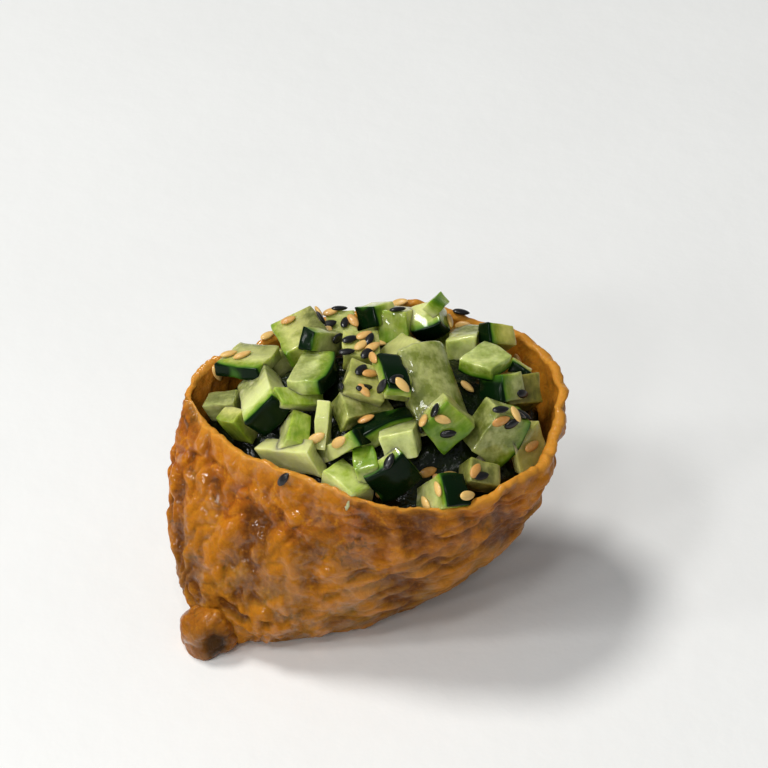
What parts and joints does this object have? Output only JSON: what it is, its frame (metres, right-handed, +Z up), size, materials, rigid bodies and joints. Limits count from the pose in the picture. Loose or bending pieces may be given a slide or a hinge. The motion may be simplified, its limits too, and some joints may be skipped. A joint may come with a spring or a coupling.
{
  "type": "inari sushi",
  "caption": "Open pouch of seasoned fried tofu on a flat base, filled with rice and heaped with diced cucumber.",
  "frame": {"origin": "middle of the underside of the whole object's box, on the surface it rests on", "axes": "+Z up, +X along the pouch's long axis away from its creased corner, +Y towards its high side"},
  "size_m": [0.0704, 0.049, 0.0532],
  "materials": {
    "fried_tofu": "moist fried tofu skin, amber brown, fine pores, slightly glossy",
    "rice": "cooked seasoned rice, off-white, moist",
    "cucumber": "wet cut cucumber, pale green flesh and dark green skin"
  },
  "bodies": {
    "root": {"tofu_pouch": "fried_tofu", "rice_bed": "rice", "cucumber_heap": "cucumber"}
  },
  "joints": []
}
